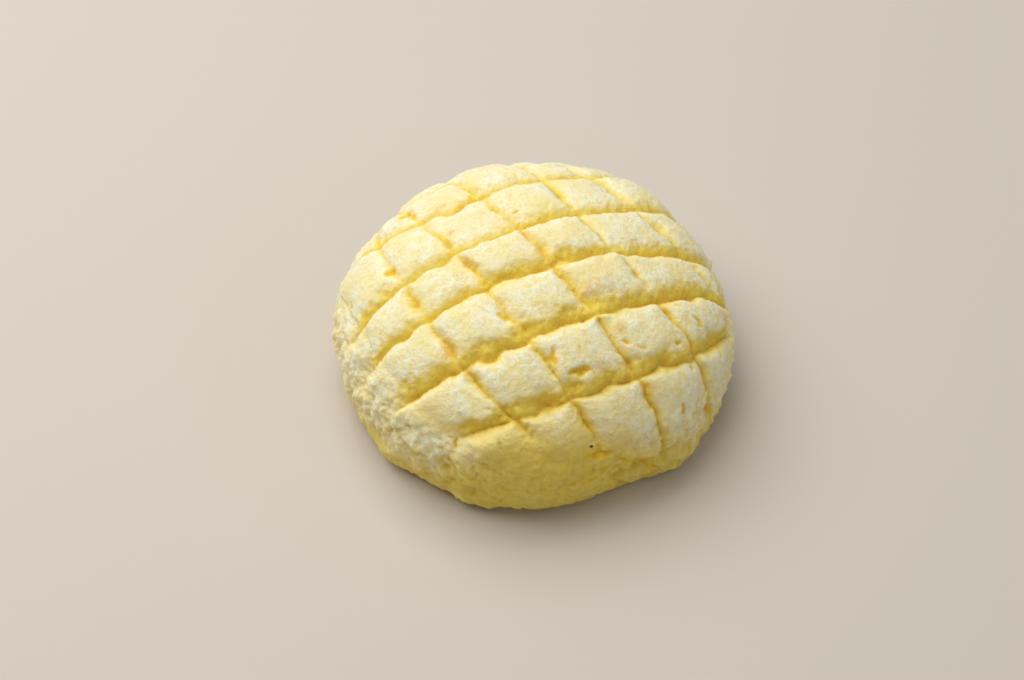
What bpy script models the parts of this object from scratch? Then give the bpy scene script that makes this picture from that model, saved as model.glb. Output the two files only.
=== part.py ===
# Melon pan: a round sweet bun under a biscuit crust that is scored into pillows.
# Lengths are in millimetres here and the finished mesh is in metres, +Z up, resting on z = 0.
#
# The crust is drawn on the unrolled bun: a point lies at its arc length from the crown, in its own
# azimuth. Score lines that are straight and even there bend over the dome as knife cuts do.

import math

import bmesh
import bpy
import numpy as np

METRE = 1000.0

# The bun's body
BUN_RADIUS = 50.9
BUN_HEIGHT = 46.0
WIDEST_LEVEL = 16.6
DOME_FULLNESS = 1.92
BASE_RADIUS = 43.8
WALL_FULLNESS = 2.6
# Lobes of the plan at the widest level and at the base: how many there are, how far they stand
# out, and the azimuth of one of them
WIDEST_LOBES = ((2, 0.7, -87.0), (3, 0.4, -27.0), (4, 0.5, -18.0), (5, 0.3, -36.0))
BASE_LOBES = ((1, 1.6, -38.0), (3, 0.9, -25.0), (4, 1.1, -39.0), (6, 0.8, 30.0))

# Score lines: the offset from the crown, the turn away from the family's direction, and the bow
# that the line has gained BOW_REACH away from its middle
ROW_DIRECTION = 20.0
ROWS = (
    (57.5, 0.0, 3.0),
    (41.5, 0.0, 3.0),
    (25.6, 0.8, 4.5),
    (7.9, 3.5, 0.7),
    (-7.0, 0.9, -0.4),
    (-24.2, 2.6, 1.7),
    (-42.9, 2.4, 6.2),
)
COLUMN_DIRECTION = -56.0
COLUMNS = (
    (-50.0, -3.5, 5.0),
    (-33.4, -3.2, 4.9),
    (-16.3, -0.9, 0.7),
    (0.6, 0.3, 1.6),
    (17.4, -0.1, 4.1),
    (35.2, 12.1, 4.8),
    (53.5, 8.0, 3.0),
)
BOW_REACH = 40.0
# Depth of a score line, and how far its slopes reach before the line and past it
ROW_DEPTH = 2.3
ROW_SLOPES = (2.0, 3.0)
COLUMN_DEPTH = 1.6
COLUMN_SLOPES = (2.0, 2.0)
# How far the shoulders of a score line are rounded, as a share of its slope
SHOULDER_ROUNDING = 0.3
# Where two lines cross, their depths are added at this power, so the cut is little deeper there
CROSSING_POWER = 3.0
# Arc lengths over which the scoring dies out on the side of the bun
SCORE_FADE = (50.0, 66.0)
# How far a pillow may stand above or below the level of its neighbours
PILLOW_SWELL = 0.45

# Broad unevenness of the risen dough
HEAVE = 0.22
HEAVE_LENGTH = 26.0

# Patches on the lower side where the crust broke into lumps: the azimuths and arc lengths that
# they span, the number of lumps, the reach of one, and the depth of the creases between them
LUMP_PATCHES = (
    (184.0, 254.0, 54.0, 71.0, 80, 3.3, 1.4),
    (284.0, 334.0, 62.0, 77.0, 60, 2.6, 0.7),
)
# How far a patch fades at its ends, in degrees, and at its upper and lower edges
PATCH_END_FADE = 8.0
PATCH_EDGE_FADE = 4.0
# Where the side of a lump starts and ends, as shares of its reach
LUMP_SIDE = (0.3, 1.3)
# Wrinkling that keeps the lumps from being round
LUMP_WARP = 0.9
LUMP_WARP_LENGTH = 6.0

# Hem: the crust's wandering lower edge, with the bread set back beneath it
HEM_ARC = 71.0
HEM_WANDER = 1.1
HEM_WANDER_LENGTH = 15.0
HEM_STEP = 0.5
HEM_SOFTNESS = 1.0

# Dents, and bulges as dents of negative depth: where they lie on the unrolled bun, their half
# length, half width, turn and depth
DENTS = (
    (11.6, -35.7, 2.6, 0.9, 12.0, 1.1),
    (-15.6, 22.7, 1.7, 1.0, -20.0, 0.9),
    (-35.3, 24.0, 2.0, 1.2, 75.0, 1.0),
    (-37.9, 0.8, 1.5, 1.3, 60.0, 0.9),
    (33.8, 14.4, 1.6, 0.9, -60.0, 0.8),
    (18.5, -57.0, 4.5, 1.0, 8.0, 0.9),
    (-57.0, -51.0, 7.0, 5.0, -48.0, -1.5),
    (-25.0, -74.0, 8.0, 5.0, -18.0, -1.2),
    (55.5, -53.0, 13.0, 7.0, 46.0, -1.6),
)

# Arc length above the base over which the relief dies out
RIM_ROUND = 7.0

# Seam on the underside between the crust's rim and the bread
SEAM_RADIUS = 39.5
SEAM_HALF_WIDTH = 1.0
SEAM_DEPTH = 0.9

# Mesh: how fine it is before and after it is reduced, and how near the base a point is laid on it
SPHERE_SUBDIVISIONS = 7
TRIANGLES = 10500
FLAT_WITHIN = 0.06
PROFILE_STEPS = 2000
SEED = 11

CRUST_COLOR = (0.86, 0.72, 0.36, 1.0)
CRUST_ROUGHNESS = 0.8


def profile():
    """The bun's side from the crown to the middle of its base, by arc length. The radius is a share
    of the widest radius plus a share of the base radius."""
    turn = np.linspace(0.0, math.pi / 2, PROFILE_STEPS)
    sine, cosine = np.sin(turn), np.abs(np.cos(turn))
    inward = np.linspace(1.0, 0.0, PROFILE_STEPS)[1:]
    wall = cosine[1:] ** (2 / WALL_FULLNESS)
    widest = np.concatenate([sine ** (2 / DOME_FULLNESS), wall, 0 * inward])
    base = np.concatenate([0 * sine, 1 - wall, inward])
    dome_height = WIDEST_LEVEL + (BUN_HEIGHT - WIDEST_LEVEL) * cosine ** (2 / DOME_FULLNESS)
    wall_height = WIDEST_LEVEL * (1 - sine[1:] ** (2 / WALL_FULLNESS))
    height = np.concatenate([dome_height, wall_height, 0 * inward])
    radius = BUN_RADIUS * widest + BASE_RADIUS * base
    arc = np.concatenate([[0.0], np.cumsum(np.hypot(np.diff(radius), np.diff(height)))])
    return widest, base, height, radius, arc


def base_arc():
    """The arc length at which the side meets the flat base."""
    return profile()[-1][2 * PROFILE_STEPS - 2]


def lobed(radius, lobes, azimuth):
    """A radius with the plan's lobes added to it."""
    out = radius + np.zeros_like(azimuth)
    for count, stand_out, at in lobes:
        out += stand_out * np.cos(count * (azimuth - math.radians(at)))
    return out


def body_points(arc, azimuth):
    """Points of the plain bun, and the way that its surface faces there."""
    widest, base, height, radius, arcs = profile()
    reach = np.interp(arc, arcs, widest) * lobed(BUN_RADIUS, WIDEST_LOBES, azimuth)
    reach += np.interp(arc, arcs, base) * lobed(BASE_RADIUS, BASE_LOBES, azimuth)
    outward = np.interp(arc, arcs, -np.gradient(height, arcs))
    upward = np.interp(arc, arcs, np.gradient(radius, arcs))
    cosine, sine = np.cos(azimuth), np.sin(azimuth)
    points = np.stack([reach * cosine, reach * sine, np.interp(arc, arcs, height)], axis=1)
    facing = np.stack([outward * cosine, outward * sine, upward], axis=1)
    return points, facing


def smoothstep(low, high, value):
    t = np.clip((value - low) / (high - low), 0.0, 1.0)
    return t * t * (3 - 2 * t)


def waves(points, length, seed, count=24):
    """A smooth random field of about unit height: many waves of about one length, in all directions."""
    draw = np.random.default_rng(seed)
    ways = draw.normal(size=(count, 3))
    ways /= np.linalg.norm(ways, axis=1, keepdims=True)
    ways *= (2 * math.pi / length) * draw.uniform(0.7, 1.3, size=(count, 1))
    phases = draw.uniform(0, 2 * math.pi, size=count)
    return np.cos(points @ ways.T + phases).sum(axis=1) * math.sqrt(2 / count)


def line_distances(x, y, direction, lines):
    """Signed distance of each unrolled point from each score line of a family."""
    way = math.radians(direction)
    along = x * math.cos(way) + y * math.sin(way)
    across = y * math.cos(way) - x * math.sin(way)
    found = []
    for offset, turn, bow in lines:
        slope = math.tan(math.radians(turn))
        line = offset + slope * along + bow * (along / BOW_REACH) ** 2
        found.append((across - line) * math.cos(math.radians(turn)))
    return np.stack(found, axis=1)


def score(distances, slopes):
    """1 at the bottom of a V-shaped score line, falling to 0 on the pillows beside it."""
    before, past = slopes
    inside = 1 - np.where(distances < 0, -distances / before, distances / past).min(axis=1)
    rounded = (inside + np.sqrt(inside**2 + SHOULDER_ROUNDING**2)) / 2
    return rounded / (1 + SHOULDER_ROUNDING**2 / 4)


def scoring(x, y, arc):
    """The score lines and the pillows between them, as a height."""
    row_distances = line_distances(x, y, ROW_DIRECTION, ROWS)
    column_distances = line_distances(x, y, COLUMN_DIRECTION, COLUMNS)
    row = score(row_distances, ROW_SLOPES)
    column = score(column_distances, COLUMN_SLOPES)
    cut = (ROW_DEPTH * row) ** CROSSING_POWER + (COLUMN_DEPTH * column) ** CROSSING_POWER
    swells = np.random.default_rng(SEED).uniform(-1, 1, size=(len(ROWS) + 1, len(COLUMNS) + 1))
    swell = swells[(row_distances > 0).sum(axis=1), (column_distances > 0).sum(axis=1)]
    pillow = PILLOW_SWELL * swell * (1 - row) * (1 - column)
    return (pillow - cut ** (1 / CROSSING_POWER)) * (1 - smoothstep(*SCORE_FADE, arc))


def patch_share(patch, azimuth, arc):
    """1 inside a lumpy patch, 0 outside it."""
    start, stop, top, bottom = patch[:4]
    degrees = np.degrees(azimuth) % 360
    share = smoothstep(start - PATCH_END_FADE, start + PATCH_END_FADE, degrees)
    share *= 1 - smoothstep(stop - PATCH_END_FADE, stop + PATCH_END_FADE, degrees)
    share *= smoothstep(top - PATCH_EDGE_FADE, top + PATCH_EDGE_FADE, arc)
    share *= 1 - smoothstep(bottom - PATCH_EDGE_FADE, bottom + PATCH_EDGE_FADE, arc)
    return share


def lumps(points, azimuth, arc):
    """Irregular lumps with creases between them, as a height below the crust's own level."""
    warp = [waves(points, LUMP_WARP_LENGTH, SEED + 10 + axis) for axis in range(3)]
    warped = points + LUMP_WARP * np.stack(warp, axis=1)
    height = np.zeros(len(points))
    for number, patch in enumerate(LUMP_PATCHES):
        start, stop, top, bottom, count, reach, depth = patch
        draw = np.random.default_rng(SEED + 20 + number)
        azimuths = np.radians(draw.uniform(start, stop, size=count))
        middles, _ = body_points(draw.uniform(top, bottom, size=count), azimuths)
        share = patch_share(patch, azimuth, arc)
        inside = share > 0
        distance = np.linalg.norm(warped[inside, None] - middles[None], axis=2).min(axis=1)
        height[inside] -= depth * share[inside] * smoothstep(*LUMP_SIDE, distance / reach)
    return height


def hem(points, arc):
    """The step back from the crust to the bread under its lower edge, as a height."""
    edge = HEM_ARC + HEM_WANDER * waves(points, HEM_WANDER_LENGTH, SEED + 2)
    return -HEM_STEP * smoothstep(edge - HEM_SOFTNESS, edge + HEM_SOFTNESS, arc)


def dents(x, y):
    """The dents and bulges, each with a rounded bottom or top, as a height."""
    height = np.zeros_like(x)
    for at_x, at_y, half_length, half_width, turn, depth in DENTS:
        way = math.radians(turn)
        along = ((x - at_x) * math.cos(way) + (y - at_y) * math.sin(way)) / half_length
        across = ((y - at_y) * math.cos(way) - (x - at_x) * math.sin(way)) / half_width
        height -= depth * np.exp(-((along**2 + across**2) ** 1.5))
    return height


def seam(radius):
    """The ring-shaped seam on the underside, as a height above it."""
    return SEAM_DEPTH * np.exp(-(((radius - SEAM_RADIUS) / SEAM_HALF_WIDTH) ** 2))


def crust_points(sphere):
    """Each point of a unit sphere taken to its place on the finished bun."""
    azimuth = np.arctan2(sphere[:, 1], sphere[:, 0])
    arc = np.arccos(np.clip(sphere[:, 2], -1.0, 1.0)) / math.pi * profile()[-1][-1]
    points, facing = body_points(arc, azimuth)
    x, y = arc * np.cos(azimuth), arc * np.sin(azimuth)
    relief = scoring(x, y, arc) + lumps(points, azimuth, arc) + hem(points, arc) + dents(x, y)
    relief += HEAVE * waves(points, HEAVE_LENGTH, SEED + 3)
    relief *= 1 - smoothstep(base_arc() - RIM_ROUND, base_arc(), arc)
    finished = points + facing * relief[:, None]
    finished[:, 2] = np.maximum(finished[:, 2], 0.0)
    under = arc >= base_arc()
    finished[under, 2] = seam(np.linalg.norm(finished[under, :2], axis=1))
    return finished / METRE


def reduced_copy(bun):
    """The bun's mesh with fewer triangles, its underside laid exactly flat and its box centred."""
    reduce = bun.modifiers.new("Reduce", "DECIMATE")
    reduce.ratio = TRIANGLES / len(bun.data.polygons)
    evaluated = bun.evaluated_get(bpy.context.evaluated_depsgraph_get())
    mesh = bpy.data.meshes.new_from_object(evaluated)
    bun.modifiers.remove(reduce)
    shape = bmesh.new()
    shape.from_mesh(mesh)
    for vertex in shape.verts:
        if vertex.co.z < FLAT_WITHIN / METRE:
            vertex.co.z = 0.0
    bmesh.ops.dissolve_degenerate(shape, dist=1e-6, edges=shape.edges)
    bmesh.ops.triangulate(shape, faces=shape.faces)
    across = [vertex.co.x for vertex in shape.verts]
    along = [vertex.co.y for vertex in shape.verts]
    middle = ((min(across) + max(across)) / 2, (min(along) + max(along)) / 2, 0.0)
    bmesh.ops.translate(shape, verts=shape.verts, vec=[-value for value in middle])
    shape.to_mesh(mesh)
    shape.free()
    return mesh


def crust_material():
    material = bpy.data.materials.new("Biscuit crust")
    material.use_nodes = True
    shader = material.node_tree.nodes["Principled BSDF"]
    shader.inputs["Base Color"].default_value = CRUST_COLOR
    shader.inputs["Roughness"].default_value = CRUST_ROUGHNESS
    shader.inputs["Metallic"].default_value = 0.0
    return material


def main():
    for old in list(bpy.data.objects):
        bpy.data.objects.remove(old, do_unlink=True)
    collection = bpy.data.collections.new("melon_pan")
    bpy.context.scene.collection.children.link(collection)

    bpy.ops.mesh.primitive_ico_sphere_add(subdivisions=SPHERE_SUBDIVISIONS, radius=1.0)
    bun = bpy.context.active_object
    bun.name = "melon_pan"
    for home in list(bun.users_collection):
        home.objects.unlink(bun)
    collection.objects.link(bun)

    sphere = np.empty(len(bun.data.vertices) * 3, np.float32)
    bun.data.vertices.foreach_get("co", sphere)
    finished = crust_points(sphere.reshape(-1, 3).astype(np.float64))
    bun.data.vertices.foreach_set("co", finished.astype(np.float32).ravel())
    bun.data.update()
    fine = bun.data
    bun.data = reduced_copy(bun)
    bun.data.name = "melon_pan"
    bpy.data.meshes.remove(fine)
    bun.data.materials.clear()
    bun.data.materials.append(crust_material())
    bun.data.shade_smooth()


main()
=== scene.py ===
# Melon pan: the looks of a round sweet bun whose biscuit crust is scored into pillows and dusted with
# sugar. The shape functions work in millimetres, and what goes to Blender is in metres, +Z up.
#
# The crust is drawn on the unrolled bun: a point lies at its arc length from the crown, in its own
# azimuth. Score lines that are straight and even there bend over the dome as knife cuts do.

import math

import bmesh
import bpy
import numpy as np
from mathutils import Matrix, Vector, noise


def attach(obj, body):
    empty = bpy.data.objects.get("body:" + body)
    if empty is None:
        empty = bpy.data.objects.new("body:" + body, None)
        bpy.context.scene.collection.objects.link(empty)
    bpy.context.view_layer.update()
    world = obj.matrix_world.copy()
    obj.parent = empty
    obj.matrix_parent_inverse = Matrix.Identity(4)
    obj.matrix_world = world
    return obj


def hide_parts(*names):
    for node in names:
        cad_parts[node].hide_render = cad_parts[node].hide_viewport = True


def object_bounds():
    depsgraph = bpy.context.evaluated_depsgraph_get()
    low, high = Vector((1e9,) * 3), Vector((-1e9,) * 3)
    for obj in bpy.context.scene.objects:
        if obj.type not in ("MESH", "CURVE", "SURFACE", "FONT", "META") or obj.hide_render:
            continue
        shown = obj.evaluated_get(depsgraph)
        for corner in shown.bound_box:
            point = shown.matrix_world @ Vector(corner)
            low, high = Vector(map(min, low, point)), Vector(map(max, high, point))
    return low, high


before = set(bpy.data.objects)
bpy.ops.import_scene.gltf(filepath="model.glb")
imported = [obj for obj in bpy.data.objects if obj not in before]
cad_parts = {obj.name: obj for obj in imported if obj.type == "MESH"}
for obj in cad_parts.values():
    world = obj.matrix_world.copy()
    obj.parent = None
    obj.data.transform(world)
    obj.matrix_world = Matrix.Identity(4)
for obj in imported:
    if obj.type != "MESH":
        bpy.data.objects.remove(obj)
CAD_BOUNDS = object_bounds()

NODE = "melon_pan"
BODY = "root"
METRE = 1000.0
SEED = 11

# The bun's body
BUN_RADIUS = 50.9
BUN_HEIGHT = 46.0
WIDEST_LEVEL = 16.6
DOME_FULLNESS = 1.92
BASE_RADIUS = 43.8
WALL_FULLNESS = 2.6
# Lobes of the plan at the widest level and at the base: how many there are, how far they stand
# out, and the azimuth of one of them
WIDEST_LOBES = ((2, 0.7, -87.0), (3, 0.4, -27.0), (4, 0.5, -18.0), (5, 0.3, -36.0))
BASE_LOBES = ((1, 1.6, -38.0), (3, 0.9, -25.0), (4, 1.1, -39.0), (6, 0.8, 30.0))
PROFILE_STEPS = 2000

# Score lines: the offset from the crown, the turn away from the family's direction, and the bow
# that the line has gained BOW_REACH away from its middle
ROW_DIRECTION = 20.0
ROWS = (
    (56.9, 0.0, 3.0),
    (40.9, 0.0, 3.0),
    (25.0, 0.8, 4.5),
    (7.3, 3.5, 0.7),
    (-7.6, 0.9, -0.4),
    (-24.8, 2.6, 1.7),
    (-43.5, 2.4, 6.2),
)
COLUMN_DIRECTION = -56.0
COLUMNS = (
    (-50.0, -3.5, 5.0),
    (-33.4, -3.2, 4.9),
    (-16.3, -0.9, 0.7),
    (0.6, 0.3, 1.6),
    (17.4, -0.1, 4.1),
    (35.2, 12.1, 4.8),
    (53.5, 8.0, 3.0),
)
BOW_REACH = 40.0
# Each line's own strength, the arc length at which it has died out on the side, and over what
# length it does so
ROW_STRENGTHS = (0.6, 0.68, 0.78, 0.88, 1.0, 1.15, 1.2)
ROW_END = 66.0
COLUMN_STRENGTHS = (0.8, 1.0, 1.0, 1.1, 1.0, 1.0, 1.0)
COLUMN_ENDS = (54.0, 56.0, 62.0, 75.0, 72.0, 68.0, 68.0)
LINE_FADE = 10.0
# Depth of a score line, how far its slopes reach before the line and, for each line, past it, and
# how much the depth varies along it
ROW_DEPTH = 1.78
ROW_SLOPES = (1.8, (3.7, 3.8, 4.0, 4.4, 4.8, 5.8, 5.8))
ROW_VARIATION = 0.12
COLUMN_DEPTH = 1.32
COLUMN_SLOPES = (1.8, (2.5, 2.4, 2.2, 1.9, 1.8, 1.8, 1.8))
COLUMN_VARIATION = 0.2
# The variation's length along a line, and the height at which its waves are cut off in a column
VARIATION_LENGTH = 11.0
VARIATION_LIMIT = 2.0
# Columns cut deeper on the side in front: by what share, and the arc lengths and the distances in
# front of the crown over which that sets in
COLUMN_DEEPENING = 0.4
COLUMN_DEEPER = (25.0, 45.0)
COLUMN_FRONT = (5.0, 30.0)
# How far the shoulders of a score line are rounded, as a share of its slope
SHOULDER_ROUNDING = 0.42
# How far down the wall past a row its sugar ends, as shares of the wall, and how much that wanders
# The bare crust on these front-facing walls is partly painted shade on the side turned from the light
BARE_WALL_AND_PAINTED_SHADE = (0.12, 0.85)
WALL_CRUMBLE = 0.8
# The narrow cut at the bottom of a score line: its share of the depth, its reach and its rounding
CUT_SHARE = 0.27
CUT_REACH = 0.9
CUT_ROUNDING = 0.25
# Where two lines cross, their depths are added at this power, so the cut is little deeper there
CROSSING_POWER = 3.0
# By how much one pillow stands higher than another
PILLOW_SWELL = 0.5
# How far the lines stray sideways, and over what length
LINE_STRAY = 0.35
LINE_STRAY_LENGTH = 7.0
# How far a pillow's edges drop, how far in from the lines that starts, and the power that rounds
# its corners
PILLOW_DROP = 0.75
PILLOW_DROP_REACH = 3.8
CORNER_POWER = 3.0
LEAST_DISTANCE = 0.01
# How much the slopes of a line crumble, as a share of the slope, and over what length
SLOPE_CRUMBLE = 0.32
SLOPE_CRUMBLE_SIZE = 2.8

# Broad unevenness of the risen dough
HEAVE = 0.22
HEAVE_LENGTH = 26.0

# Arc lengths over which the lower side of the bun starts
LOWER_SIDE = (50.0, 66.0)

# Patches on the lower side where the crust broke into lumps: the azimuths and arc lengths that
# they span, the number of lumps, the reach of one, and the depth of the creases between them
LUMP_PATCHES = (
    (184.0, 256.0, 54.0, 72.0, 60, 4.0, 0.9),
    (284.0, 334.0, 62.0, 77.0, 60, 2.6, 0.5),
)
PATCH_END_FADE = 12.0
PATCH_EDGE_FADE = 5.0
# How much of the score lines the first patch hides
PATCH_HIDES = 0.8
# Where a lump's side falls, as shares of its reach, and how far lumps stray from round
LUMP_SIDE = (0.3, 1.3)
LUMP_WARP = 0.9
LUMP_WARP_LENGTH = 6.0
# Small round lumps on top of them, and faint ones on the whole lower side: size and depth
BILLOWS = ((5.2, 1.55), (2.5, 0.5))
SIDE_BILLOWS = 0.45
# Depths over which the creases between the lumps turn yellow, and how yellow they get
# The creases' yellow is partly the bare crust's colour and partly painted shade in the creases.
CREASES = (1.0, 2.8)
CREASE_YELLOW_AND_SHADE = 0.8

# Hem: the crust's wandering lower edge, with the bread set back beneath it
HEM_ARC = 71.0
HEM_WANDER = 1.1
HEM_WANDER_LENGTH = 15.0
HEM_STEP = 0.5
HEM_SOFTNESS = 1.0

# Dents, and bulges as dents of negative depth: where they lie on the unrolled bun, their half
# length, half width, turn and depth
DENTS = (
    (11.6, -35.7, 2.6, 0.9, 12.0, 1.1),
    (-15.6, 22.7, 1.7, 1.0, -20.0, 0.9),
    (-35.3, 24.0, 2.0, 1.2, 75.0, 1.0),
    (-37.9, 0.8, 1.5, 1.3, 60.0, 0.9),
    (33.8, 14.4, 1.6, 0.9, -60.0, 0.8),
    (18.5, -57.0, 4.5, 1.0, 8.0, 0.9),
    (-57.0, -51.0, 7.0, 5.0, -48.0, -1.5),
    (-25.0, -74.0, 8.0, 5.0, -18.0, -1.2),
    (55.5, -53.0, 13.0, 7.0, 46.0, -1.6),
)
# Smaller pits, cracks and bridged places of the scene's finer crust, in the same terms
MARKS = (
    (23.2, -26.7, 0.8, 0.6, 0.0, 0.6),
    (26.9, -27.6, 1.5, 0.35, -25.0, 0.5),
    (36.8, -23.5, 0.9, 0.6, 40.0, 0.7),
    (-51.5, -2.9, 1.2, 0.7, 80.0, 0.6),
    (43.5, -15.0, 1.8, 0.9, -30.0, 0.6),
    (41.6, -39.5, 1.6, 0.9, -50.0, 0.6),
    (-4.2, 12.1, 0.8, 0.5, 20.0, 0.6),
    (-3.9, 7.7, 0.7, 0.5, 60.0, 0.6),
    (-14.4, -6.0, 0.9, 0.6, 30.0, 0.5),
    (-7.3, -21.1, 0.9, 0.7, 0.0, 0.6),
    (13.0, -22.0, 1.0, 0.7, 40.0, 0.7),
    (11.5, -30.2, 0.6, 0.5, 0.0, 0.3),
    (4.6, -32.5, 2.4, 0.8, -80.0, 0.7),
    (35.5, -8.8, 0.7, 0.6, 0.0, 0.5),
    (37.5, -12.4, 0.9, 0.6, 20.0, 0.6),
    (42.1, -28.7, 1.2, 0.6, -20.0, 0.6),
    (-22.3, -51.9, 0.9, 0.6, 60.0, 0.8),
    (-2.8, -49.9, 1.0, 0.7, 0.0, 0.4),
    (-6.7, -46.4, 0.9, 0.6, 20.0, 0.6),
    (-9.1, -53.2, 2.2, 0.5, -62.0, 0.8),
    (10.9, -66.8, 1.4, 0.5, 10.0, 0.7),
    (-6.6, -71.5, 1.6, 0.4, 5.0, 0.5),
    (18.1, -65.2, 1.4, 0.6, 15.0, 0.8),
    (30.5, -58.4, 6.0, 0.7, -6.0, 0.9),
    (41.0, -59.6, 5.0, 0.7, -5.0, 0.8),
    (-54.2, -43.1, 1.6, 0.7, 50.0, 0.8),
    (58.2, -35.3, 5.0, 0.6, -31.0, 1.0),
    (62.5, -33.5, 4.0, 0.5, -28.0, 0.7),
    (15.4, -20.4, 3.2, 2.2, 20.0, -1.1),
    (-14.0, -53.5, 6.0, 2.4, 4.0, -1.1),
    (12.6, -35.0, 1.3, 0.7, -15.0, 0.5),
    (9.9, -36.2, 0.9, 0.7, 50.0, 0.5),
)
# How steep the sides of a dent are, how far its brim strays, and over what length
DENT_POWER = 1.5
MARK_STRAY = 0.28
MARK_STRAY_LENGTH = 2.6
# How hollow a dent looks for each millimetre of its depth
HOLLOW_PER_DEPTH = 1.5
# Places that baked more golden: where they lie on the unrolled bun, and how wide they are
GOLDEN_PLACES = (
    (-21.1, 8.0, 1.5),
    (-21.7, 3.7, 2.2),
    (-16.6, -4.0, 2.4),
    (-4.1, 10.0, 1.8),
    (-2.5, 4.0, 1.8),
    (2.0, -3.0, 2.4),
    (14.8, -2.7, 2.2),
    (14.1, -13.2, 3.4),
    (26.4, -5.5, 1.8),
    (33.8, -10.8, 2.8),
    (21.4, -23.3, 2.2),
    (4.6, -32.5, 2.2),
    (24.3, -35.7, 2.0),
    (30.0, -37.1, 2.6),
    (40.7, -23.7, 2.4),
    (-22.0, -28.0, 3.6),
    (-16.8, -33.8, 2.4),
    (58.2, -35.3, 2.6),
)

# Crumbly noise: how quickly its finer octaves weaken, and how much finer each is than the last
ROUGH_FALLOFF = 0.8
ROUGH_STEP = 2.1
# How many waves a smooth random field has in its own length, from the longest to the shortest
WAVE_SPREAD = (0.7, 1.3)
# Roughness of the crust: height and size of its crags and of its grains, the share of each on a
# pillow's top, and what is added to it in the score lines and on the lower side
CRAG_HEIGHT = 0.26
CRAG_SIZE = 5.0
CRAG_SHARES = (0.6, 0.9)
GRAIN_HEIGHT = 0.10
GRAIN_SIZE = 1.3
GRAIN_SHARES = (1.0, 1.3)
ROUGH_CUT = (0.1, 0.35)
# Ragged lower side: the height and size of its crumbs, the arc lengths over which it starts, and
# how much smoother it is where it is bare
RAGS_HEIGHT = 0.78
RAGS_SIZE = 2.2
RAGS_START = (52.0, 64.0)
RAGS_SMOOTHER = 0.45

# Steepness of a wall, as 1 less the cosine of its tilt, over which it turns yellow and loses sugar
STEEP = (0.04, 0.34)
STEEP_YELLOW = 0.4
STEEP_LOSS = 0.6

# Arc length above the base over which the relief dies out
RIM_ROUND = 4.0

# Underside: the crust's rim curls under as far as the seam, and the bread starts there
SEAM_RADIUS = 39.5
SEAM_HALF_WIDTH = 1.0
SEAM_DEPTH = 0.9
RIM_TUCK = 1.6
BREAD_RADIUS = 39.2
BREAD_CENTRE = 0.05
BREAD_EDGE = 1.4
BREAD_EDGE_STEPS = 6
BREAD_PLUG_HEIGHT = 4.0
BREAD_PLUG_INSET = 1.0
BREAD_RING_STEP = 0.8
BREAD_SEGMENTS = 240
BREAD_PORE_DEPTH = 0.15
BREAD_PORE_SIZE = 2.0
BREAD_PORES = (0.25, 0.7)

# Sugar crystals: how many lie on the crust, and the lengths of their sides
CRYSTALS = 4000
CRYSTAL_SIDES = (0.10, 0.24)
# How far down the side the sugar reaches, as azimuth and arc length, and the length over which it
# thins out there
SUGAR_REACH = (
    (0, 84),
    (60, 74),
    (170, 76),
    (190, 82),
    (240, 76),
    (262, 57),
    (286, 59),
    (304, 70),
    (322, 80),
    (360, 85),
)
SUGAR_FADE = 16.0
# Depths in a line over which it ends, its mean cover, and the height and size of its drifts
SUGAR_IN_CUT = (0.1, 0.6)
SUGAR_COVER = 0.75
SUGAR_DRIFT = 0.25
SUGAR_DRIFT_LENGTH = 11.0

# A small burnt crumb baked into the crust: its place on the unrolled bun and its half lengths
SPECK_PLACE = (15.6, -54.5)
SPECK_HALF = (0.45, 0.38, 0.3)
SPECK_ROUGHNESS = 0.2
SPECK_ROUGH_SIZE = 0.7
SPECK_SUBDIVISIONS = 3

# Mesh: the ball that becomes the crust is cut off below this polar angle
SUBDIVISIONS = 8
CRUST_POLAR = 100.0

# Camera: the photograph's distance, height, tilt and roll, and its lens on a 36 mm wide sensor
CAMERA_PLACE = (-0.0053, -0.4682, 0.5299)
CAMERA_TILT = 48.0
CAMERA_ROLL = 0.785
CAMERA_LENS = 97.0
CAMERA_SENSOR = 36.0

# Colours as seen on a screen, from 0 to 255
PALE_CRUST = (245, 229, 164)
# The yellow and golden crusts are partly the crust's own colour and partly painted shade in the lines
YELLOW_CRUST_AND_SHADE = (239, 215, 96)
BARE_CRUST = (234, 206, 74)
GOLDEN_CRUST_AND_SHADE = (232, 192, 78)
# The pits' own yellow, made brighter as painted light against the shade in them
PIT_YELLOW_AND_PAINTED_LIGHT = (248, 210, 66)
SUGAR_FILM = (252, 246, 222)
CRYSTAL_CLEAR = (246, 234, 190)
CRYSTAL_MILKY = (252, 243, 208)
BURNT_DARK = (38, 24, 16)
BURNT_BROWN = (84, 50, 26)
BREAD_PALE = (222, 176, 112)
BREAD_BROWN = (184, 122, 62)
BREAD_FLOURY = (236, 208, 160)

# Crust's finish: the sizes of its noises in millimetres, from broad blotches to fine grains, and
# the weights with which the three broad ones make it uneven
BLOTCH = 9.0
CLOUD = 2.8
CRUMB = 1.2
FINE_GRAIN = 0.5
UNEVEN = (0.3, 0.4, 0.4)
# Over which depths in a line the crust turns yellow, then golden, and how much unevenness counts
# The yellow and golden deeper in a line are partly the bare crust's colour and partly painted shade.
YELLOW_DEPTHS = (0.1, 0.9)
YELLOW_UNEVEN = 0.8
DEEP_DEPTHS = (0.55, 1.15)
DEEP_UNEVEN = 1.5
# What makes the golden spots ragged, and how bare the crust is where no sugar lies
SPOT_RAGGED = 0.6
BARE_COVER = 0.8
# Weights of crumbs and grains in the specks, and of clouds, crumbs and grains in the sugar's frost
SPECK_WEIGHTS = (0.6, 0.4)
FROST_WEIGHTS = (0.55, 0.5, 0.45)
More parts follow.
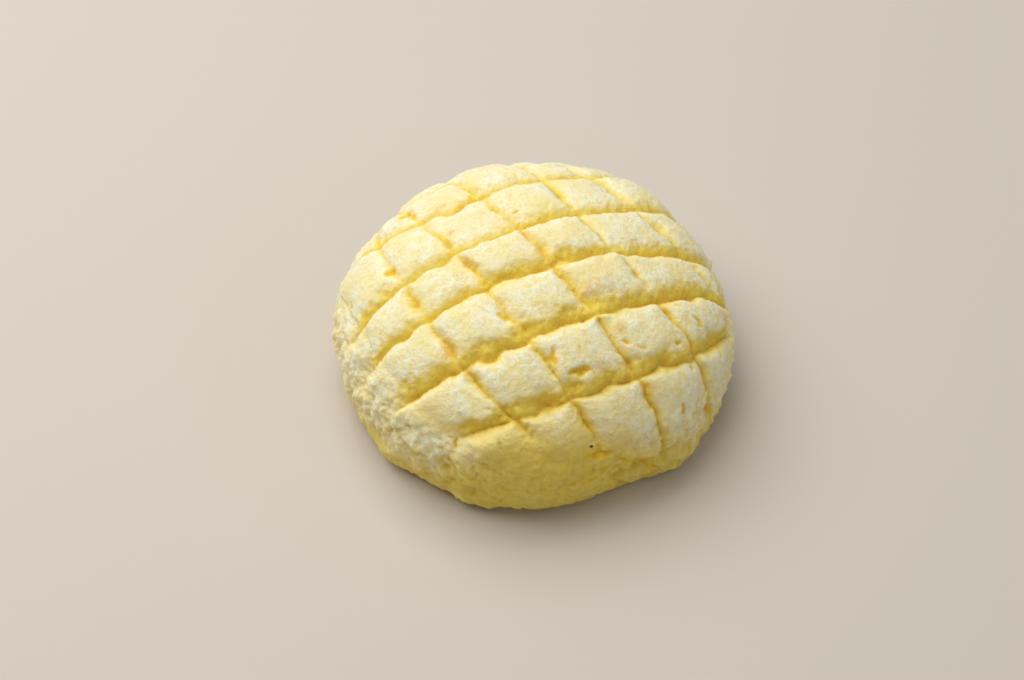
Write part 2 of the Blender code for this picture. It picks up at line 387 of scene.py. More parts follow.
# Ranges over which golden spots, golden specks, the hollows' yellow with painted light and sugar
# frost set in
SPOT_RANGE = (0.35, 1.1)
SPECK_RANGE = (0.6, 0.7)
HOLLOW_RANGE = (0.1, 0.8)
FROST_RANGE = (0.63, 0.84)
# How strongly each of these colours covers what lies under it
SPECK_COVER = 0.45
GOLDEN_COVER = 0.8
HOLLOW_COVER = 0.8
FROST_COVER = 0.9
# Roughness of the bare crust, and how much less it is under sugar
CRUST_ROUGHNESS = 0.85
SUGAR_GLOSS = 0.2
# Heights of the crumbs and of the grains that are too fine for the mesh, and the clouds' share
CRUMB_BUMP = 0.45
CLOUD_BUMP_SHARE = 0.5
GRAIN_BUMP = 0.16

# Bread's finish: the sizes of its blotches and pores, and where they show
BREAD_BLOTCH = 14.0
BREAD_PORE = 1.2
BREAD_BROWNING = 20.0
BREAD_WANDER = 8.0
BREAD_FLOUR_RANGE = (0.5, 0.75)
BREAD_PORE_RANGE = (0.6, 0.75)
BREAD_COVER = 0.5
BREAD_BUMP = 0.15

# Sizes of the tints in the sugar crystals and in the burnt speck
CRYSTAL_TINT = 3.0
SPECK_TINT = 0.4

# Studio: a large soft light behind the bun to the left, a weaker one in front, and a pale floor
KEY_FROM = (142.0, 62.0)
KEY_DISTANCE = 0.9
KEY_SIZE = 1.0
KEY_POWER = 9.1
KEY_COLOR = (1.0, 0.975, 0.94)
FILL_FROM = (-25.0, 42.0)
FILL_DISTANCE = 1.1
FILL_SIZE = 0.9
FILL_POWER = 1.1
FILL_COLOR = (1.0, 0.98, 0.96)
WORLD_COLOR = (1.0, 0.985, 0.96, 1.0)
WORLD_STRENGTH = 0.27
FLOOR_COLOR = (0.62, 0.57, 0.51, 1.0)
FLOOR_HALF_SIZE = 4.0


class Value:
    """A node's output that takes part in sums: each operator adds the Math node that it stands for."""

    def __init__(self, shading, socket):
        self.shading = shading
        self.socket = socket

    def math(self, operation, *others):
        sockets = dict(enumerate((self, *others)))
        return self.shading.node("ShaderNodeMath", {"operation": operation}, sockets)

    def __add__(self, other):
        return self.math("ADD", other)

    def __mul__(self, other):
        return self.math("MULTIPLY", other)

    def __sub__(self, other):
        return self.math("SUBTRACT", other)

    def __rsub__(self, other):
        return self.shading.node("ShaderNodeMath", {"operation": "SUBTRACT"}, {0: other, 1: self})

    __radd__ = __add__
    __rmul__ = __mul__

    def at_least(self, other):
        return self.math("MAXIMUM", other)


class Shading:
    """The nodes of one material."""

    def __init__(self, name):
        self.material = bpy.data.materials.new(name)
        self.material.use_nodes = True
        self.tree = self.material.node_tree
        self.shader = self.tree.nodes["Principled BSDF"]
        self.place = self.node("ShaderNodeTexCoord", output="Object")

    def node(self, kind, settings=None, sockets=None, output=0):
        """A new node with its settings and sockets filled in; the value is one of its outputs."""
        node = self.tree.nodes.new(kind)
        for name, value in (settings or {}).items():
            setattr(node, name, value)
        for name, value in (sockets or {}).items():
            self.put(node.inputs[name], value)
        return Value(self, node.outputs[output])

    def put(self, socket, value):
        if isinstance(value, Value):
            self.tree.links.new(value.socket, socket)
        else:
            socket.default_value = value

    def surface(self, **sockets):
        """Fills the shader's own sockets, named with underscores for their spaces."""
        for name, value in sockets.items():
            self.put(self.shader.inputs[name.replace("_", " ")], value)

    def attribute(self, name):
        return self.node("ShaderNodeAttribute", {"attribute_name": name}, output="Fac")

    def noise(self, size, detail=2.0, roughness=0.5):
        """Noise between 0 and 1 with features of the given size in millimetres."""
        sockets = {
            "Vector": self.place,
            "Scale": METRE / size,
            "Detail": detail,
            "Roughness": roughness,
        }
        return self.node("ShaderNodeTexNoise", None, sockets)

    def between(self, value, low, high):
        """0 below low, 1 above high and a smooth step between them."""
        sockets = {"Value": value, "From Min": low, "From Max": high}
        return self.node("ShaderNodeMapRange", {"interpolation_type": "SMOOTHSTEP"}, sockets)

    def mix(self, share, under, over):
        """One colour over another."""
        sockets = {0: share, 6: linear(under), 7: linear(over)}
        return self.node("ShaderNodeMix", {"data_type": "RGBA"}, sockets, output=2)

    def bump(self, height, millimetres, normal=None):
        """A normal that stands for a height of so many millimetres, on top of another one."""
        sockets = {"Height": height, "Distance": millimetres / METRE, "Strength": 1.0}
        if normal is not None:
            sockets["Normal"] = normal
        return self.node("ShaderNodeBump", None, sockets)


def linear(color):
    """A screen colour as the linear one that a shader takes; a link is left as it is."""
    if isinstance(color, Value):
        return color
    shares = [value / 255 for value in color]
    return (*[v / 12.92 if v <= 0.04045 else ((v + 0.055) / 1.055) ** 2.4 for v in shares], 1.0)


# Shape of the bun


def profile():
    """The bun's side from the crown to the middle of its base, by arc length. The radius is a share
    of the widest radius plus a share of the base radius."""
    turn = np.linspace(0.0, math.pi / 2, PROFILE_STEPS)
    sine, cosine = np.sin(turn), np.abs(np.cos(turn))
    inward = np.linspace(1.0, 0.0, PROFILE_STEPS)[1:]
    wall = cosine[1:] ** (2 / WALL_FULLNESS)
    widest = np.concatenate([sine ** (2 / DOME_FULLNESS), wall, 0 * inward])
    base = np.concatenate([0 * sine, 1 - wall, inward])
    dome_height = WIDEST_LEVEL + (BUN_HEIGHT - WIDEST_LEVEL) * cosine ** (2 / DOME_FULLNESS)
    wall_height = WIDEST_LEVEL * (1 - sine[1:] ** (2 / WALL_FULLNESS))
    height = np.concatenate([dome_height, wall_height, 0 * inward])
    radius = BUN_RADIUS * widest + BASE_RADIUS * base
    arc = np.concatenate([[0.0], np.cumsum(np.hypot(np.diff(radius), np.diff(height)))])
    return widest, base, height, radius, arc


def base_arc():
    """The arc length at which the side meets the flat base."""
    return profile()[-1][2 * PROFILE_STEPS - 2]


def lobed(radius, lobes, azimuth):
    """A radius with the plan's lobes added to it."""
    out = radius + np.zeros_like(azimuth)
    for count, stand_out, at in lobes:
        out += stand_out * np.cos(count * (azimuth - math.radians(at)))
    return out


def body_points(arc, azimuth):
    """Points of the plain bun, and the way that its surface faces there."""
    widest, base, height, radius, arcs = profile()
    reach = np.interp(arc, arcs, widest) * lobed(BUN_RADIUS, WIDEST_LOBES, azimuth)
    reach += np.interp(arc, arcs, base) * lobed(BASE_RADIUS, BASE_LOBES, azimuth)
    outward = np.interp(arc, arcs, -np.gradient(height, arcs))
    upward = np.interp(arc, arcs, np.gradient(radius, arcs))
    cosine, sine = np.cos(azimuth), np.sin(azimuth)
    points = np.stack([reach * cosine, reach * sine, np.interp(arc, arcs, height)], axis=1)
    facing = np.stack([outward * cosine, outward * sine, upward], axis=1)
    return points, facing


def smoothstep(low, high, value):
    t = np.clip((value - low) / (high - low), 0.0, 1.0)
    return t * t * (3 - 2 * t)


def waves(points, length, seed, count=24):
    """A smooth random field of about unit height: many waves of about one length, in all directions."""
    draw = np.random.default_rng(seed)
    ways = draw.normal(size=(count, 3))
    ways /= np.linalg.norm(ways, axis=1, keepdims=True)
    ways *= (2 * math.pi / length) * draw.uniform(*WAVE_SPREAD, size=(count, 1))
    phases = draw.uniform(0, 2 * math.pi, size=count)
    return np.cos(points @ ways.T + phases).sum(axis=1) * math.sqrt(2 / count)


def rough(points, size, octaves, shift=0.0):
    """Crumbly noise between about -1 and 1, with its largest features of the given size."""
    places = (points / size + shift).tolist()
    return np.array([noise.fractal(place, ROUGH_FALLOFF, ROUGH_STEP, octaves) for place in places])


def line_distances(x, y, direction, lines):
    """Signed distance of each unrolled point from each score line of a family."""
    way = math.radians(direction)
    along = x * math.cos(way) + y * math.sin(way)
    across = y * math.cos(way) - x * math.sin(way)
    found = []
    for offset, turn, bow in lines:
        slope = math.tan(math.radians(turn))
        line = offset + slope * along + bow * (along / BOW_REACH) ** 2
        found.append((across - line) * math.cos(math.radians(turn)))
    return np.stack(found, axis=1)


def rounded_v(inside, rounding):
    """A V from 1 at its bottom to 0 at its brim, with its brim rounded."""
    return (inside + np.sqrt(inside**2 + rounding**2)) / (2 + rounding**2 / 2)


def score(distances, slopes, crumble, strengths):
    """About 1 at the bottom of a score line, falling to 0 on the pillows beside it: wide crumbly
    slopes with a narrow cut between them."""
    before, past = slopes
    reach = np.where(distances < 0, -distances / before, distances / np.array(past))
    slope = rounded_v(1 + crumble[:, None] - reach, SHOULDER_ROUNDING)
    cut = rounded_v(1 - np.abs(distances) / CUT_REACH, CUT_ROUNDING)
    return (((1 - CUT_SHARE) * slope + CUT_SHARE * cut) * strengths).max(axis=1)


def line_fades(arc, ends):
    """1 on the top of the bun, falling to 0 where each line ends on the side."""
    ends = np.array(ends)
    return 1 - smoothstep(ends - LINE_FADE, ends, arc[:, None])


def stray(x, y, points):
    """The unrolled points moved aside a little, so that the lines drawn through them waver."""
    x = x + LINE_STRAY * waves(points, LINE_STRAY_LENGTH, SEED + 30)
    y = y + LINE_STRAY * waves(points, LINE_STRAY_LENGTH, SEED + 31)
    return x, y


def row_scores(distances, crumble, strengths, points):
    """How deep in a row each point lies, from 0 on a pillow to about 1 at the bottom."""
    row = score(distances, ROW_SLOPES, crumble, strengths)
    return row * (1 + ROW_VARIATION * waves(points, VARIATION_LENGTH, SEED + 32))


def column_scores(distances, crumble, y, arc, points):
    """How deep in a column each point lies, in the same terms."""
    strengths = line_fades(arc, COLUMN_ENDS) * COLUMN_STRENGTHS
    column = score(distances, COLUMN_SLOPES, crumble, strengths)
    varied = waves(points, VARIATION_LENGTH, SEED + 33)
    column *= 1 + COLUMN_VARIATION * np.clip(varied, -VARIATION_LIMIT, VARIATION_LIMIT)
    deeper = smoothstep(*COLUMN_DEEPER, arc) * smoothstep(*COLUMN_FRONT, -y)
    return column * (1 + COLUMN_DEEPENING * deeper)


def row_walls_bare_and_painted_shade(distances, crumble, strengths):
    """1 on the tall wall past a row, which faces the front, away from the key light, and 0 on the
    pillows. The wall is left bare of sugar, partly as the crust's colour and partly as painted shade.
    """
    walls = np.where(distances > 0, 1 - distances / np.array(ROW_SLOPES[1]), 0)
    return smoothstep(*BARE_WALL_AND_PAINTED_SHADE, (walls * strengths**2).max(axis=1) + WALL_CRUMBLE * crumble)


def pillows(row_distances, column_distances, row, column):
    """The height of the pillows: each has its own swell, and all of them drop at their edges."""
    swells = np.random.default_rng(SEED).uniform(-1, 1, size=(len(ROWS) + 1, len(COLUMNS) + 1))
    swell = swells[(row_distances > 0).sum(axis=1), (column_distances > 0).sum(axis=1)]
    height = PILLOW_SWELL * swell * np.clip((1 - row) * (1 - column), 0, 1)
    beside = (np.abs(row_distances).min(axis=1), np.abs(column_distances).min(axis=1))
    nearest = sum((distance + LEAST_DISTANCE) ** -CORNER_POWER for distance in beside)
    nearest = nearest ** (-1 / CORNER_POWER)
    return height - PILLOW_DROP * np.exp(-((nearest / PILLOW_DROP_REACH) ** 2))


def scoring(x, y, arc, points):
    """The score lines and the pillows between them: their height, how deep in a line each point
    lies, from 0 on a pillow to 1 at the bottom, and its share in the tall wall past a row, which is
    left bare of sugar partly as painted shade."""
    x, y = stray(x, y, points)
    row_distances = line_distances(x, y, ROW_DIRECTION, ROWS)
    column_distances = line_distances(x, y, COLUMN_DIRECTION, COLUMNS)
    crumble = SLOPE_CRUMBLE * rough(points, SLOPE_CRUMBLE_SIZE, octaves=3, shift=20.0)
    fade = line_fades(arc, [ROW_END])
    row_strengths = fade * ROW_STRENGTHS
    row = row_scores(row_distances, crumble, row_strengths, points)
    column = column_scores(column_distances, crumble, y, arc, points)
    cut = (ROW_DEPTH * row) ** CROSSING_POWER + (COLUMN_DEPTH * column) ** CROSSING_POWER
    cut = cut ** (1 / CROSSING_POWER)
    height = pillows(row_distances, column_distances, row, column) * fade[:, 0] - cut
    return height, np.clip(cut / ROW_DEPTH, 0, 1), row_walls_bare_and_painted_shade(row_distances, crumble, row_strengths)


def patch_share(patch, azimuth, arc):
    """1 inside a lumpy patch, 0 outside it."""
    start, stop, top, bottom = patch[:4]
    degrees = np.degrees(azimuth) % 360
    share = smoothstep(start - PATCH_END_FADE, start + PATCH_END_FADE, degrees)
    share *= 1 - smoothstep(stop - PATCH_END_FADE, stop + PATCH_END_FADE, degrees)
    share *= smoothstep(top - PATCH_EDGE_FADE, top + PATCH_EDGE_FADE, arc)
    share *= 1 - smoothstep(bottom - PATCH_EDGE_FADE, bottom + PATCH_EDGE_FADE, arc)
    return share


def billows(points, size):
    """Small round lumps: 0 at the middle of each, about -1 in the creases between them."""
    places = (points / size).tolist()
    nearest = np.array([noise.voronoi(place)[0][0] for place in places])
    return -np.minimum(nearest, 1.0) ** 2


def lumps(points, azimuth, arc):
    """Irregular lumps with creases between them, as a height below the crust's own level."""
    warp = [waves(points, LUMP_WARP_LENGTH, SEED + 10 + axis) for axis in range(3)]
    warped = points + LUMP_WARP * np.stack(warp, axis=1)
    small = sum(depth * billows(warped, size) for size, depth in BILLOWS)
    height = SIDE_BILLOWS * small * smoothstep(*LOWER_SIDE, arc)
    for number, patch in enumerate(LUMP_PATCHES):
        start, stop, top, bottom, count, reach, depth = patch
        draw = np.random.default_rng(SEED + 20 + number)
        azimuths = np.radians(draw.uniform(start, stop, size=count))
        middles, _ = body_points(draw.uniform(top, bottom, size=count), azimuths)
        share = patch_share(patch, azimuth, arc)
        inside = share > 0
        distance = np.linalg.norm(warped[inside, None] - middles[None], axis=2).min(axis=1)
        height[inside] -= depth * share[inside] * smoothstep(*LUMP_SIDE, distance / reach)
        height += share * small
    return height


def hem(points, arc):
    """The step back from the crust to the bread under its lower edge, as a height."""
    edge = HEM_ARC + HEM_WANDER * waves(points, HEM_WANDER_LENGTH, SEED + 2)
    return -HEM_STEP * smoothstep(edge - HEM_SOFTNESS, edge + HEM_SOFTNESS, arc)


def dents(x, y, points, marks):
    """The dents and bulges, each with a rounded bottom or top and an uneven brim, as a height."""
    x = x + MARK_STRAY * waves(points, MARK_STRAY_LENGTH, SEED + 50)
    y = y + MARK_STRAY * waves(points, MARK_STRAY_LENGTH, SEED + 51)
    height = np.zeros_like(x)
    for at_x, at_y, half_length, half_width, turn, depth in marks:
        way = math.radians(turn)
        along = ((x - at_x) * math.cos(way) + (y - at_y) * math.sin(way)) / half_length
        across = ((y - at_y) * math.cos(way) - (x - at_x) * math.sin(way)) / half_width
        height -= depth * np.exp(-((along**2 + across**2) ** DENT_POWER))
    return height


def golden(x, y):
    """1 in the middle of the places that baked more golden, 0 away from them."""
    share = np.zeros_like(x)
    for at_x, at_y, width in GOLDEN_PLACES:
        share = np.maximum(share, np.exp(-((x - at_x) ** 2 + (y - at_y) ** 2) / width**2))
    return share


def bare(azimuth, arc):
    """0 where sugar covers the crust, 1 on the lower side that it doesn't reach."""
    angles, reaches = zip(*SUGAR_REACH)
    reach = np.interp(np.degrees(azimuth) % 360, angles, reaches)
    return smoothstep(reach - SUGAR_FADE, reach, arc)


def rim_arc():
    """The arc length at which the rim that curls under the bun ends."""
    return base_arc() + BASE_RADIUS - SEAM_RADIUS + RIM_TUCK


def rim_under(arc, azimuth):
    """Points of the rim under the bun, from its lower edge inwards and up into the seam."""
    inward = (arc - base_arc()) / (rim_arc() - base_arc())
    outer = lobed(BASE_RADIUS, BASE_LOBES, azimuth)
    radius = outer + inward * (SEAM_RADIUS - RIM_TUCK - outer)
    before_seam = np.maximum(radius - SEAM_RADIUS, 0.0) / SEAM_HALF_WIDTH
    height = SEAM_DEPTH * np.exp(-(before_seam**2))
    return np.stack([radius * np.cos(azimuth), radius * np.sin(azimuth), height], axis=1)


def fine_relief(points, arc, cut, unsugared):
    """The crust's crags and grains, which are stronger in the score lines and on the lower side, and
    the crumbs of its ragged lower side, as a height."""
    stronger = smoothstep(*ROUGH_CUT, cut) + smoothstep(*LOWER_SIDE, arc)
    crags = CRAG_HEIGHT * rough(points, CRAG_SIZE, octaves=4)
    grains = GRAIN_HEIGHT * rough(points, GRAIN_SIZE, octaves=2, shift=40.0)
    rags = RAGS_HEIGHT * rough(points, RAGS_SIZE, octaves=3, shift=60.0)
    relief = crags * (CRAG_SHARES[0] + CRAG_SHARES[1] * stronger)
    relief += grains * (GRAIN_SHARES[0] + GRAIN_SHARES[1] * stronger)
    return relief + rags * smoothstep(*RAGS_START, arc) * (1 - RAGS_SMOOTHER * unsugared)


def raised(points, facing, relief, arc, azimuth):
    """The plain bun's points with the relief on them, and the rim under the bun."""
    relief = relief * (1 - smoothstep(base_arc() - RIM_ROUND, base_arc(), arc))
    out = points + facing * relief[:, None]
    out[:, 2] = np.maximum(out[:, 2], 0.0)
    under = arc >= base_arc()
    out[under] = rim_under(arc[under], azimuth[under])
    return out


def sugar_share(points, cut, unsugared, hollow):
    """How much sugar lies on each point: drifts on the pillows, none in lines, hollows and walls."""
    drift = SUGAR_COVER + SUGAR_DRIFT * waves(points, SUGAR_DRIFT_LENGTH, SEED + 40)
    sugar = (1 - smoothstep(*SUGAR_IN_CUT, cut)) * (1 - unsugared) * drift * (1 - hollow)
    return np.clip(sugar, 0, 1)


def crust_surface(arc, azimuth):
    """The crust's points, and what its material needs at each of them: how deep in a line or crease
    it lies, how hollow, golden and bare of sugar it is, with the front-facing row walls bare partly
    as painted shade, and how much sugar it holds."""
    points, facing = body_points(arc, azimuth)
    x, y = arc * np.cos(azimuth), arc * np.sin(azimuth)
    scored, cut, wall = scoring(x, y, arc, points)
    lumpy = patch_share(LUMP_PATCHES[0], azimuth, arc)
    broken = lumps(points, azimuth, arc)
    large = dents(x, y, points, DENTS)
    small = dents(x, y, points, MARKS)
    unsugared = bare(azimuth, arc)
    relief = scored * (1 - PATCH_HIDES * lumpy) + broken + hem(points, arc) + large + small
    relief += fine_relief(points, arc, cut, unsugared)
    relief += HEAVE * waves(points, HEAVE_LENGTH, SEED + 3)
    finished = raised(points, facing, relief, arc, azimuth)

    hollow = np.clip(-HOLLOW_PER_DEPTH * (np.minimum(small, 0) + np.minimum(large, 0)), 0, 1)
    # Creases between the lumps take the lines' yellow, which is partly painted shade in them.
    cut = np.maximum(cut * (1 - lumpy), CREASE_YELLOW_AND_SHADE * smoothstep(*CREASES, -broken))
    # The front-facing walls past the rows lose their sugar, partly as painted shade
    unsugared = np.maximum(unsugared, wall * (1 - lumpy))
    looks = {"cut": cut, "hollow": hollow, "golden": golden(x, y), "bare": unsugared}
    looks["sugar"] = sugar_share(points, cut, unsugared, hollow)
    return finished, looks


def spreads(points, triangles):
    """The way that each triangle faces, as long as twice its area."""
    corners = points[triangles]
    return np.cross(corners[:, 1] - corners[:, 0], corners[:, 2] - corners[:, 0])


def normals(points, triangles):
    """The way that the surface faces at each point."""
    ways = spreads(points, triangles)
    out = np.zeros_like(points)
    for corner in range(3):
        np.add.at(out, triangles[:, corner], ways)
    return out / np.linalg.norm(out, axis=1, keepdims=True)


def cad_box():
    """The lowest and the highest corner of the CAD box in millimetres."""
    return [np.array(corner) * METRE for corner in CAD_BOUNDS]


def into_box(points):
    """The points moved, and stretched by less than a hundredth, so that they fill the CAD box."""
    low, high = cad_box()
    own_low, own_high = points.min(axis=0), points.max(axis=0)
    return low + (points - own_low) * (high - low) / (own_high - own_low)


# Pieces


def taken_out(shape):
    """The points and faces of a bmesh, which is freed."""
    points = np.array([vertex.co[:] for vertex in shape.verts])
    faces = np.array([[vertex.index for vertex in face.verts] for face in shape.faces])
    shape.free()
    return points, faces


def ball(subdivisions):
    """The points and triangles of a ball of radius 1."""
    shape = bmesh.new()
    bmesh.ops.create_icosphere(shape, subdivisions=subdivisions, radius=1.0)
    return taken_out(shape)


def block():
    """The corners and faces of a block with sides of length 1."""
    shape = bmesh.new()
    bmesh.ops.create_cube(shape, size=1.0)
    return taken_out(shape)


def piece(name, points, faces, material, attributes=None, smooth=True):
    """A mesh object that stands for the CAD bun; its points come in millimetres."""
    mesh = bpy.data.meshes.new(name)
    mesh.from_pydata((points / METRE).tolist(), [], faces.tolist())
    if smooth:
        mesh.shade_smooth()
    mesh.materials.append(material)
    for key, values in (attributes or {}).items():
        layer = mesh.attributes.new(key, "FLOAT", "POINT")
        layer.data.foreach_set("value", np.asarray(values, np.float32))
    made = bpy.data.objects.new(name, mesh)
    bpy.context.scene.collection.objects.link(made)
    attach(made, BODY)
    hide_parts(NODE)


def crust_shape():
    """The biscuit crust's points and triangles, what its material needs at each point, and each
    point's place on the unrolled bun. It is the whole top and side, and the rim that curls under."""
    sphere, triangles = ball(SUBDIVISIONS)
    polar = np.degrees(np.arccos(np.clip(sphere[:, 2], -1.0, 1.0)))
    kept = polar <= CRUST_POLAR
    triangles = triangles[kept[triangles].all(axis=1)]
    number = np.cumsum(kept) - 1
    arc = polar[kept] / CRUST_POLAR * rim_arc()
    azimuth = np.arctan2(sphere[kept, 1], sphere[kept, 0])
    points, looks = crust_surface(arc, azimuth)
    points, triangles = into_box(points), number[triangles]
    facing = body_points(arc, azimuth)[1]
    steep = smoothstep(*STEEP, 1 - (normals(points, triangles) * facing).sum(axis=1))
    looks["cut"] = np.maximum(looks["cut"], STEEP_YELLOW * steep)
    looks["sugar"] *= 1 - STEEP_LOSS * steep
    unrolled = np.stack([arc * np.cos(azimuth), arc * np.sin(azimuth)], axis=1)
    return points, triangles, looks, unrolled


def turned(radii, heights, segments):
    """Points and quads of a profile turned about the vertical axis."""
    turn = np.arange(segments) * 2 * math.pi / segments
    circle = np.stack([np.cos(turn), np.sin(turn), 0 * turn], axis=1)
    rings = [radius * circle + (0, 0, height) for radius, height in zip(radii, heights)]
    ring, step = np.divmod(np.arange((len(radii) - 1) * segments), segments)
    beside = (step + 1) % segments
    quads = np.stack([ring * segments + step, ring * segments + beside], axis=1)
    quads = np.concatenate([quads, quads[:, ::-1] + segments], axis=1)
    return np.concatenate(rings), quads


def bread_base(material):
    """The flat underside of the bread inside the crust's rim: a plug with a rounded edge."""
    flat = np.arange(BREAD_CENTRE, BREAD_RADIUS - BREAD_EDGE, BREAD_RING_STEP)
    turn = np.linspace(0, math.pi / 2, BREAD_EDGE_STEPS)
    edge = BREAD_RADIUS - BREAD_EDGE * (1 - np.sin(turn))
    top = [BREAD_RADIUS - BREAD_PLUG_INSET, BREAD_CENTRE]
    radii = np.concatenate([flat, edge, top])
    heights = np.concatenate([0 * flat, BREAD_EDGE * (1 - np.cos(turn)), [BREAD_PLUG_HEIGHT] * 2])
    points, quads = turned(radii, heights, BREAD_SEGMENTS)
    pores = np.abs(rough(points, BREAD_PORE_SIZE, octaves=3, shift=70.0))
    points[:, 2] += BREAD_PORE_DEPTH * smoothstep(*BREAD_PORES, pores)
    piece("bread_base", points, quads[:, ::-1], material)


def sugar_crystals(points, triangles, sugar, material):
    """Sugar crystals on the pillows, as one mesh: small tilted blocks half sunk in the crust."""
    middles = points[triangles].mean(axis=1)
    chance = np.linalg.norm(spreads(points, triangles), axis=1) * sugar[triangles].mean(axis=1)
    draw = np.random.default_rng(SEED + 50)
    chosen = draw.choice(len(middles), CRYSTALS, replace=False, p=chance / chance.sum())
    sides = draw.uniform(*CRYSTAL_SIDES, size=(CRYSTALS, 1, 3))
    turns = np.linalg.qr(draw.normal(size=(CRYSTALS, 3, 3)))[0]
    corners, faces = block()
    placed = middles[chosen][:, None] + (corners * sides) @ turns
    low, high = cad_box()
    placed = placed[((placed >= low) & (placed <= high)).all(axis=(1, 2))]
    numbered = faces + len(corners) * np.arange(len(placed))[:, None, None]
    piece("sugar", placed.reshape(-1, 3), numbered.reshape(-1, 4), material, smooth=False)


def burnt_speck(points, unrolled, material):
    """The small burnt crumb on the lower front, half sunk in the crust."""
    nearest = np.linalg.norm(unrolled - SPECK_PLACE, axis=1).argmin()
    crumb, triangles = ball(SPECK_SUBDIVISIONS)
    bumps = SPECK_ROUGHNESS * rough(crumb, SPECK_ROUGH_SIZE, octaves=2, shift=9.0)
    crumb = crumb * SPECK_HALF * (1 + bumps)[:, None]
    piece("burnt_speck", crumb + points[nearest], triangles, material)


# Materials


def crust_color(shading, blotch, cloud, crumb, grain):
    """Pale crust that turns yellow and then golden deeper in the score lines and creases, partly as the
    bare crust's colour and partly as painted shade, with bare yellow places and golden spots, specks
    and pits. This is its colour under the sugar."""
    cut = shading.attribute("cut")
    hollow = shading.attribute("hollow")
    bare_share = shading.attribute("bare")
    blotches, clouds, crumbs = UNEVEN
    uneven = blotches * (blotch - 0.5) + clouds * (cloud - 0.5) + crumbs * (crumb - 0.5)
    yellow = shading.between(cut + YELLOW_UNEVEN * uneven, *YELLOW_DEPTHS)
    deep = shading.between(cut + DEEP_UNEVEN * uneven, *DEEP_DEPTHS)
    spots = shading.between(shading.attribute("golden") * (crumb + SPOT_RAGGED), *SPOT_RANGE)
    of_crumb, of_grain = SPECK_WEIGHTS
    specks = shading.between(of_crumb * crumb + of_grain * grain, *SPECK_RANGE)
    specks = specks * yellow.at_least(bare_share)
    unsugared = (bare_share * (BARE_COVER + uneven)).at_least(hollow)
    # Yellow, then golden deeper in the lines and creases: partly the crust's colour, partly painted
    # shade.
    color = shading.mix(yellow, PALE_CRUST, YELLOW_CRUST_AND_SHADE)
    color = shading.mix(unsugared, color, BARE_CRUST)
    color = shading.mix(specks * SPECK_COVER, color, GOLDEN_CRUST_AND_SHADE)
    return shading.mix(deep.at_least(spots) * GOLDEN_COVER, color, GOLDEN_CRUST_AND_SHADE)


def crust_material():
    """The biscuit crust: sugary pillow tops over yellow, crumbly crust."""
    shading = Shading("Biscuit crust")
    blotch = shading.noise(BLOTCH, detail=3.0)
    cloud = shading.noise(CLOUD, detail=3.0, roughness=0.6)
    crumb = shading.noise(CRUMB, detail=3.0, roughness=0.6)
    grain = shading.noise(FINE_GRAIN, roughness=0.6)
    of_cloud, of_crumb, of_grain = FROST_WEIGHTS
    frost = of_grain * grain + of_crumb * crumb + of_cloud * cloud
    sugar = shading.between(frost, *FROST_RANGE) * shading.attribute("sugar")
    # Pits take a brighter yellow: their own colour with painted light against their shade
    pit_painted_light = shading.between(shading.attribute("hollow"), *HOLLOW_RANGE)
    color = crust_color(shading, blotch, cloud, crumb, grain)
    color = shading.mix(sugar * FROST_COVER, color, SUGAR_FILM)
    coarse = shading.bump(crumb + CLOUD_BUMP_SHARE * cloud, CRUMB_BUMP)
    shading.surface(
        Base_Color=shading.mix(pit_painted_light * HOLLOW_COVER, color, PIT_YELLOW_AND_PAINTED_LIGHT),
        Roughness=CRUST_ROUGHNESS - SUGAR_GLOSS * sugar,
        Normal=shading.bump(grain, GRAIN_BUMP, normal=coarse),
        Subsurface_Weight=0.8,
        Subsurface_Radius=(1.0, 0.95, 0.65),
        Subsurface_Scale=0.0018,
        Specular_IOR_Level=0.3,
    )
    return shading.material


def bread_material():
    """Baked bread, browner towards its edge, with pale flour-dusty patches."""
    shading = Shading("Bread underside")
    blotch = shading.noise(BREAD_BLOTCH, detail=4.0)
    pore = shading.noise(BREAD_PORE, detail=3.0, roughness=0.6)
    level = {0: shading.place, 1: (1.0, 1.0, 0.0)}
    level = shading.node("ShaderNodeVectorMath", {"operation": "MULTIPLY"}, level)
    middle = shading.node("ShaderNodeVectorMath", {"operation": "LENGTH"}, {0: level}, "Value")
    wandering = middle * METRE + BREAD_WANDER * (blotch - 0.5)
    outer = shading.between(wandering, BREAD_BROWNING, BREAD_RADIUS)
    flour = shading.between(blotch, *BREAD_FLOUR_RANGE)
    color = shading.mix(outer, BREAD_PALE, BREAD_BROWN)
    color = shading.mix(flour * BREAD_COVER, color, BREAD_FLOURY)
    pores = shading.between(pore, *BREAD_PORE_RANGE)
    shading.surface(
        Base_Color=shading.mix(pores * BREAD_COVER, color, BREAD_BROWN),
        Roughness=0.8,
        Normal=shading.bump(pore, BREAD_BUMP),
        Subsurface_Weight=0.1,
        Subsurface_Scale=0.002,
    )
    return shading.material


def sugar_material():
    shading = Shading("Sugar crystals")
    shading.surface(
        Base_Color=shading.mix(shading.noise(CRYSTAL_TINT), CRYSTAL_CLEAR, CRYSTAL_MILKY),
        Roughness=0.5,
        Specular_IOR_Level=0.3,
        Subsurface_Weight=0.3,
        Subsurface_Scale=0.0005,
    )
    return shading.material


def speck_material():
    shading = Shading("Burnt speck")
    color = shading.mix(shading.noise(SPECK_TINT), BURNT_DARK, BURNT_BROWN)
    shading.surface(Base_Color=color, Roughness=0.6)
    return shading.material


# Studio


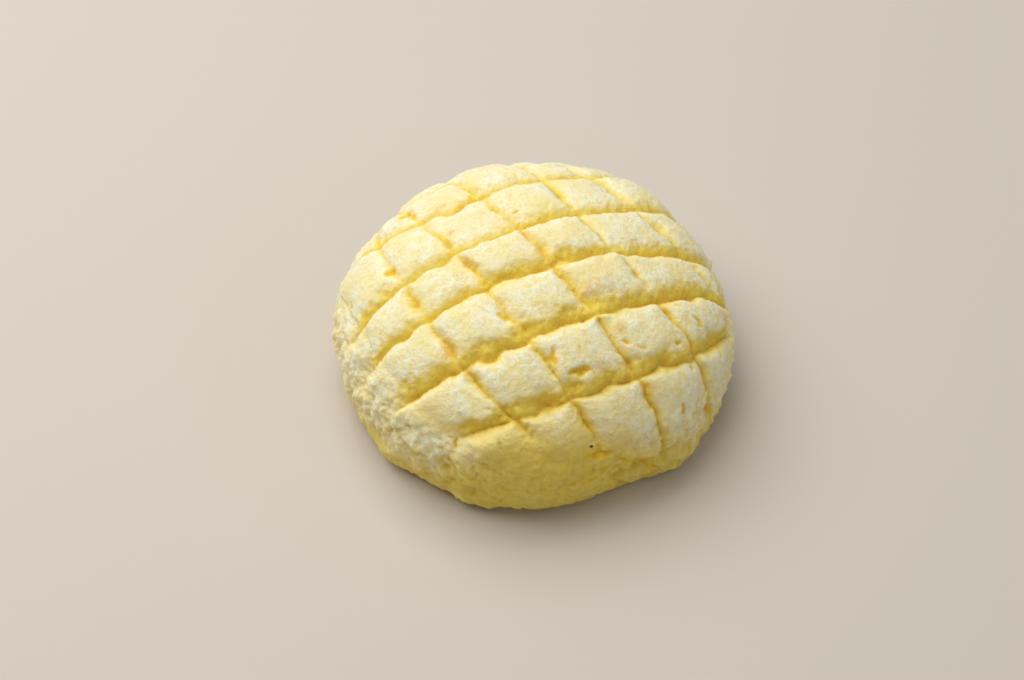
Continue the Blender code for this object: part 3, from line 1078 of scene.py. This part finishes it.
def camera():
    data = bpy.data.cameras.new("Camera")
    data.sensor_width = CAMERA_SENSOR
    data.lens = CAMERA_LENS
    made = bpy.data.objects.new("Camera", data)
    tilt, roll = math.radians(CAMERA_TILT), math.radians(CAMERA_ROLL)
    right = Vector((1.0, 0.0, 0.0))
    ahead = Vector((0.0, math.cos(tilt), -math.sin(tilt)))
    up = Vector((0.0, math.sin(tilt), math.cos(tilt)))
    rolled_right = right * math.cos(roll) - up * math.sin(roll)
    rolled_up = right * math.sin(roll) + up * math.cos(roll)
    made.matrix_world = Matrix((rolled_right, rolled_up, -ahead)).transposed().to_4x4()
    made.location = CAMERA_PLACE
    bpy.context.scene.collection.objects.link(made)
    bpy.context.scene.camera = made


def soft_light(name, seen_from, distance, size, power, color):
    """A square light at an azimuth and elevation, turned to the bun."""
    data = bpy.data.lights.new(name, "AREA")
    data.size = size
    data.energy = power
    data.color = color
    made = bpy.data.objects.new(name, data)
    azimuth, elevation = (math.radians(angle) for angle in seen_from)
    level = math.cos(elevation)
    way = Vector((level * math.cos(azimuth), level * math.sin(azimuth), math.sin(elevation)))
    made.location = way * distance
    made.rotation_euler = way.to_track_quat("Z", "Y").to_euler()
    bpy.context.scene.collection.objects.link(made)


def floor():
    shading = Shading("Pale floor")
    shading.surface(Base_Color=FLOOR_COLOR, Roughness=0.7)
    mesh = bpy.data.meshes.new("floor")
    side = FLOOR_HALF_SIZE
    corners = [(-side, -side, 0.0), (side, -side, 0.0), (side, side, 0.0), (-side, side, 0.0)]
    mesh.from_pydata(corners, [], [(0, 1, 2, 3)])
    mesh.materials.append(shading.material)
    made = bpy.data.objects.new("floor", mesh)
    bpy.context.scene.collection.objects.link(made)


def studio():
    camera()
    floor()
    soft_light("Key", KEY_FROM, KEY_DISTANCE, KEY_SIZE, KEY_POWER, KEY_COLOR)
    soft_light("Fill", FILL_FROM, FILL_DISTANCE, FILL_SIZE, FILL_POWER, FILL_COLOR)
    world = bpy.data.worlds.new("Studio")
    world.use_nodes = True
    background = world.node_tree.nodes["Background"]
    background.inputs["Color"].default_value = WORLD_COLOR
    background.inputs["Strength"].default_value = WORLD_STRENGTH
    bpy.context.scene.world = world
    bpy.context.scene.view_settings.view_transform = "Standard"


def bun():
    points, triangles, looks, unrolled = crust_shape()
    piece("crust", points, triangles, crust_material(), looks)
    sugar_crystals(points, triangles, looks["sugar"], sugar_material())
    burnt_speck(points, unrolled, speck_material())
    bread_base(bread_material())


bun()
studio()
